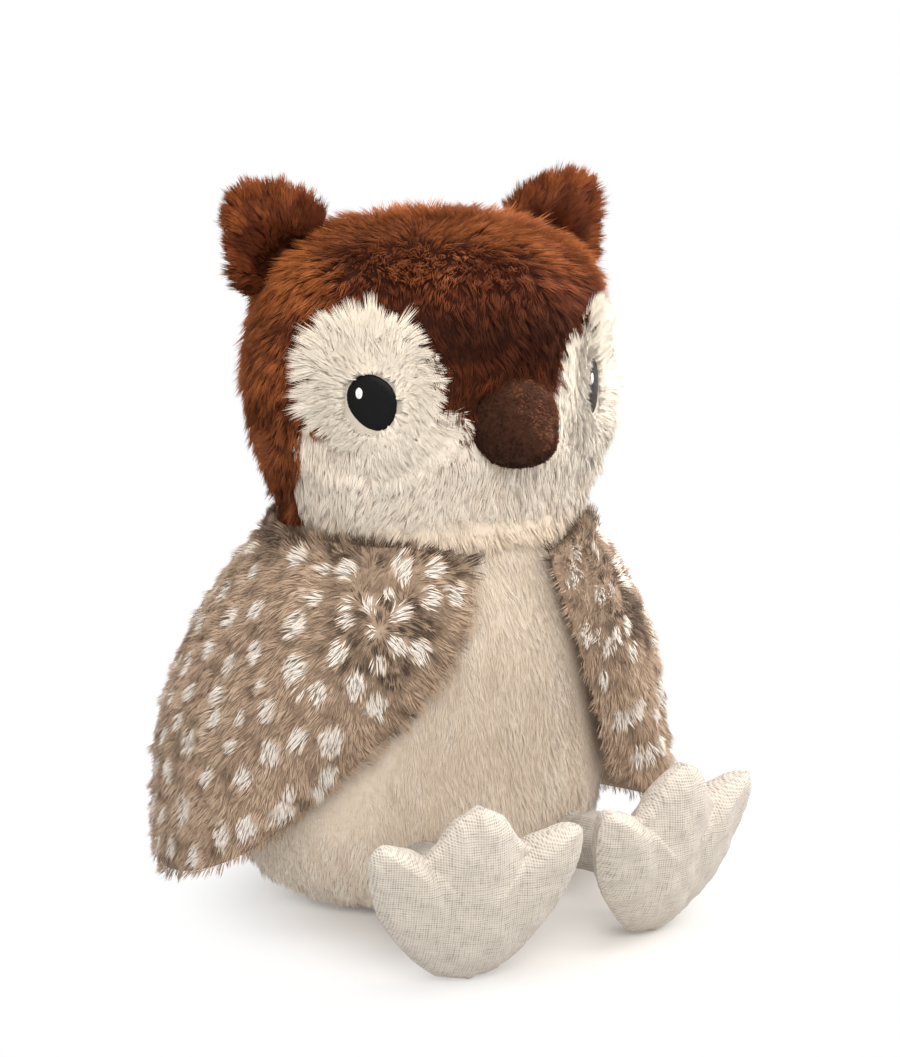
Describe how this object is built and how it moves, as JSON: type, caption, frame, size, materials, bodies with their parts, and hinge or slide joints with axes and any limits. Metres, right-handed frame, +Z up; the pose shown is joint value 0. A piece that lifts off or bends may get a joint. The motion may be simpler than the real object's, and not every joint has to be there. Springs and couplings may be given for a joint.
{
  "type": "plush owl",
  "caption": "Seated stuffed owl with a turning head, bendable ear tufts, lifting flap wings and floppy linen feet.",
  "frame": {"origin": "on the floor, on the flat underside of the torso base, below the middle of the lap", "axes": "+Z up, the owl faces -Y, its own left is +X"},
  "size_m": [0.2106, 0.2071, 0.275],
  "materials": {
    "brown_plush": "long glossy brown pile",
    "cream_plush": "short combed cream pile",
    "long_plush": "long fluffy cream pile",
    "spotted_plush": "medium pile, brown with pale spots",
    "lining_plush": "short pale pile",
    "beak_velour": "very short dark pile",
    "linen": "plain weave, slubbed",
    "eye_thread": "black satin-stitch embroidery",
    "highlight_thread": "white satin-stitch embroidery",
    "stuffing": "polyester fibre fill",
    "bag_cotton": "cotton bag filled with plastic pellets"
  },
  "bodies": {
    "torso": {"torso_front": "cream_plush", "torso_back_left": "cream_plush", "torso_back_right": "cream_plush", "torso_base": "cream_plush", "torso_stuffing": "stuffing", "pellet_bag": "bag_cotton", "wing_left_shoulder": "spotted_plush", "wing_right_shoulder": "spotted_plush"},
    "neck": {"neck_wad": "stuffing"},
    "head": {"head_stuffing": "stuffing", "crown_front": "brown_plush", "head_back_left": "brown_plush", "head_back_right": "brown_plush", "chin_panel": "cream_plush", "face_disc_left": "long_plush", "face_disc_right": "long_plush", "eye_left": "eye_thread", "eye_right": "eye_thread", "eye_highlight_left": "highlight_thread", "eye_highlight_right": "highlight_thread", "beak_cover": "beak_velour", "beak_stuffing": "stuffing"},
    "ear_left": {"ear_left_front": "brown_plush", "ear_left_back": "brown_plush"},
    "ear_right": {"ear_right_front": "brown_plush", "ear_right_back": "brown_plush"},
    "wing_left": {"wing_left_outer": "spotted_plush", "wing_left_lining": "lining_plush"},
    "wing_right": {"wing_right_outer": "spotted_plush", "wing_right_lining": "lining_plush"},
    "leg_left": {"leg_left_cover": "linen", "leg_left_stuffing": "stuffing"},
    "leg_right": {"leg_right_cover": "linen", "leg_right_stuffing": "stuffing"},
    "foot_left": {"foot_left_sole": "linen", "foot_left_upper": "linen", "foot_left_stuffing": "stuffing"},
    "foot_right": {"foot_right_sole": "linen", "foot_right_upper": "linen", "foot_right_stuffing": "stuffing"}
  },
  "joints": [
    {"name": "neck_turn", "type": "hinge", "parent": "torso", "child": "neck", "pos_m": [0, -0.008, 0.12], "axis": [0, 0, 1], "range_deg": [-15, 25], "stiffness_Nm_per_rad": 0.4},
    {"name": "head_nod", "type": "hinge", "parent": "neck", "child": "head", "pos_m": [0, -0.008, 0.12], "axis": [0.9965, -0.0837, 0], "range_deg": [-6, 6], "stiffness_Nm_per_rad": 3},
    {"name": "ear_left_bend", "type": "hinge", "parent": "head", "child": "ear_left", "pos_m": [0.05664, -0.00272, 0.2497], "axis": [0.7634, -0.0641, -0.6428], "range_deg": [-12, 12], "stiffness_Nm_per_rad": 0.05},
    {"name": "ear_right_bend", "type": "hinge", "parent": "head", "child": "ear_right", "pos_m": [-0.05497, 0.00665, 0.2497], "axis": [0.7634, -0.0641, 0.6428], "range_deg": [-12, 12], "stiffness_Nm_per_rad": 0.05},
    {"name": "wing_left_lift", "type": "hinge", "parent": "torso", "child": "wing_left", "pos_m": [0.0697, -0.008, 0.138], "axis": [0, -1, 0], "range_deg": [0, 60]},
    {"name": "wing_right_lift", "type": "hinge", "parent": "torso", "child": "wing_right", "pos_m": [-0.06948, -0.008, 0.138], "axis": [0, 1, 0], "range_deg": [0, 60]},
    {"name": "hip_left_raise", "type": "hinge", "parent": "torso", "child": "leg_left", "pos_m": [0.031, -0.0517, 0.024], "axis": [-1, 0, 0], "range_deg": [0, 18]},
    {"name": "hip_right_raise", "type": "hinge", "parent": "torso", "child": "leg_right", "pos_m": [-0.031, -0.0517, 0.024], "axis": [-1, 0, 0], "range_deg": [0, 18]},
    {"name": "ankle_left_flex", "type": "hinge", "parent": "leg_left", "child": "foot_left", "pos_m": [0.03508, -0.08033, 0.02795], "axis": [0.9573, 0.289, 0], "range_deg": [-8, 8], "stiffness_Nm_per_rad": 0.2},
    {"name": "ankle_right_flex", "type": "hinge", "parent": "leg_right", "child": "foot_right", "pos_m": [-0.03929, -0.08227, 0.02795], "axis": [0.981, -0.1942, 0], "range_deg": [-8, 8], "stiffness_Nm_per_rad": 0.2}
  ]
}
